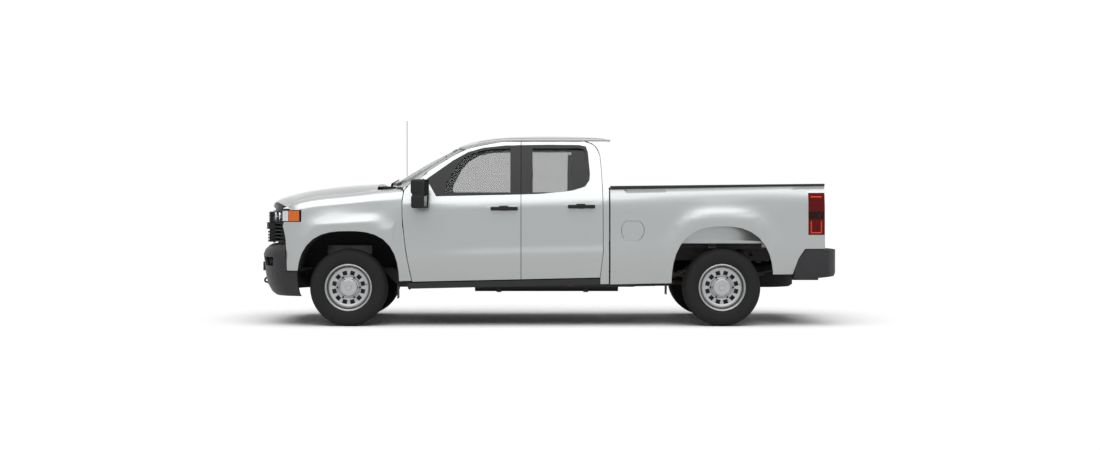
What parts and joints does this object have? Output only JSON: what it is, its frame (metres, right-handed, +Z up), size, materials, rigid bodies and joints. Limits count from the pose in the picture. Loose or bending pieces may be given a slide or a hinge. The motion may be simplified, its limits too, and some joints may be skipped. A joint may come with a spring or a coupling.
{
  "type": "pickup truck",
  "caption": "Light-duty pickup truck with an extended four-door cab, open load bed, steel wheels, steering, doors, hood, fuel door and drop-down tailgate.",
  "frame": {"origin": "on the ground, at the centre of the bounding box's bottom face", "axes": "+Z up, -X towards the front of the truck, -Y towards the driver's side, which the picture shows"},
  "size_m": [5.88, 2.447, 2.146],
  "materials": {
    "bare_steel": "dull",
    "black_plastic": "moulded in black",
    "body_paint": "silver metallic",
    "bumper_black": "black, fine grain",
    "cast_metal": "as cast",
    "floor_paint": "silver metallic",
    "frame_steel": "black chassis paint, satin",
    "glass": "clear, lightly tinted",
    "interior": "grained",
    "lamp_lens": "clear",
    "load_floor": "silver metallic, dull",
    "seat_fabric": "woven",
    "tail_lens": "red lens",
    "tank_plastic": "moulded",
    "tyre_rubber": "tyre rubber",
    "wheel_steel": "silver-grey wheel paint"
  },
  "bodies": {
    "chassis": {"frame_rails": "frame_steel", "crossmembers": "frame_steel", "powertrain": "cast_metal", "driveshaft": "bare_steel", "exhaust": "bare_steel", "fuel_tank": "tank_plastic", "radiator": "bare_steel", "front_suspension": "frame_steel", "rear_axle": "frame_steel", "leaf_springs": "frame_steel", "spare_wheel": "tyre_rubber", "cab_floor": "floor_paint", "firewall": "black_plastic", "cab_back": "body_paint", "roof": "body_paint", "pillars": "body_paint", "cab_glass": "glass", "front_fenders": "body_paint", "wheel_liners": "black_plastic", "mud_flaps": "black_plastic", "grille": "black_plastic", "headlamps": "lamp_lens", "front_bumper": "bumper_black", "bed_floor": "load_floor", "bed_sides": "body_paint", "rail_caps": "black_plastic", "rear_bumper": "bumper_black", "tail_lamps": "tail_lens", "dashboard": "interior", "seats": "seat_fabric", "wipers": "black_plastic", "antenna": "black_plastic"},
    "hood": {"hood": "body_paint"},
    "front_door_left": {"front_door_left": "body_paint", "front_glass_left": "glass", "mirror_left": "black_plastic"},
    "front_door_right": {"front_door_right": "body_paint", "front_glass_right": "glass", "mirror_right": "black_plastic"},
    "rear_door_left": {"rear_door_left": "body_paint", "rear_glass_left": "glass"},
    "rear_door_right": {"rear_door_right": "body_paint", "rear_glass_right": "glass"},
    "tailgate": {"tailgate": "body_paint"},
    "fuel_door": {"fuel_door": "body_paint"},
    "wheel_front_left": {"rim_front_left": "wheel_steel", "tyre_front_left": "tyre_rubber"},
    "wheel_front_right": {"rim_front_right": "wheel_steel", "tyre_front_right": "tyre_rubber"},
    "wheel_rear_left": {"rim_rear_left": "wheel_steel", "tyre_rear_left": "tyre_rubber"},
    "wheel_rear_right": {"rim_rear_right": "wheel_steel", "tyre_rear_right": "tyre_rubber"},
    "knuckle_left": {"knuckle_left": "frame_steel"},
    "knuckle_right": {"knuckle_right": "frame_steel"},
    "steering_rack": {"steering_rack": "bare_steel"},
    "steering_wheel": {"steering_wheel": "interior"}
  },
  "joints": [
    {"name": "front_door_left_hinge", "type": "hinge", "parent": "chassis", "child": "front_door_left", "pos_m": [-1.4, -1.002, 0.9], "axis": [0, 0, -1], "range_deg": [0, 68]},
    {"name": "rear_door_left_hinge", "type": "hinge", "parent": "chassis", "child": "rear_door_left", "pos_m": [-0.225, -1.002, 0.9], "axis": [0, 0, -1], "range_deg": [0, 68]},
    {"name": "front_door_right_hinge", "type": "hinge", "parent": "chassis", "child": "front_door_right", "pos_m": [-1.4, 1.002, 0.9], "axis": [0, 0, 1], "range_deg": [0, 68]},
    {"name": "rear_door_right_hinge", "type": "hinge", "parent": "chassis", "child": "rear_door_right", "pos_m": [-0.225, 1.002, 0.9], "axis": [0, 0, 1], "range_deg": [0, 68]},
    {"name": "hood_hinge", "type": "hinge", "parent": "chassis", "child": "hood", "pos_m": [-1.745, 0, 1.4], "axis": [0, 1, 0], "range_deg": [0, 50]},
    {"name": "tailgate_hinge", "type": "hinge", "parent": "chassis", "child": "tailgate", "pos_m": [2.759, 0, 0.87], "axis": [0, 1, 0], "range_deg": [0, 90]},
    {"name": "fuel_door_hinge", "type": "hinge", "parent": "chassis", "child": "fuel_door", "pos_m": [0.725, -0.966, 0.96], "axis": [0, 0, -1], "range_deg": [0, 80]},
    {"name": "steer_left", "type": "hinge", "parent": "chassis", "child": "knuckle_left", "pos_m": [-1.99, -0.8, 0.388], "axis": [0, 0, 1], "range_deg": [-33, 33]},
    {"name": "wheel_front_left_spin", "type": "hinge", "parent": "knuckle_left", "child": "wheel_front_left", "pos_m": [-1.99, -0.87, 0.388], "axis": [0, 1, 0], "continuous": true},
    {"name": "wheel_rear_left_spin", "type": "hinge", "parent": "chassis", "child": "wheel_rear_left", "pos_m": [1.755, -0.87, 0.388], "axis": [0, 1, 0], "continuous": true},
    {"name": "steer_right", "type": "hinge", "parent": "chassis", "child": "knuckle_right", "pos_m": [-1.99, 0.8, 0.388], "axis": [0, 0, 1], "range_deg": [-33, 33]},
    {"name": "wheel_front_right_spin", "type": "hinge", "parent": "knuckle_right", "child": "wheel_front_right", "pos_m": [-1.99, 0.87, 0.388], "axis": [0, 1, 0], "continuous": true},
    {"name": "wheel_rear_right_spin", "type": "hinge", "parent": "chassis", "child": "wheel_rear_right", "pos_m": [1.755, 0.87, 0.388], "axis": [0, 1, 0], "continuous": true},
    {"name": "rack_slide", "type": "slide", "parent": "chassis", "child": "steering_rack", "axis": [0, 1, 0], "range_m": [-0.07, 0.07]},
    {"name": "steering_wheel_turn", "type": "hinge", "parent": "chassis", "child": "steering_wheel", "pos_m": [-0.9, -0.4, 1.19], "axis": [0.9, 0, 0.436], "range_deg": [-530, 530]}
  ],
  "couplings": [
    {"joint": "steer_right", "follows": "steer_left", "ratio": 1},
    {"joint": "rack_slide", "follows": "steer_left", "m_per_rad": 0.115},
    {"joint": "steering_wheel_turn", "follows": "steer_left", "ratio": 16}
  ]
}
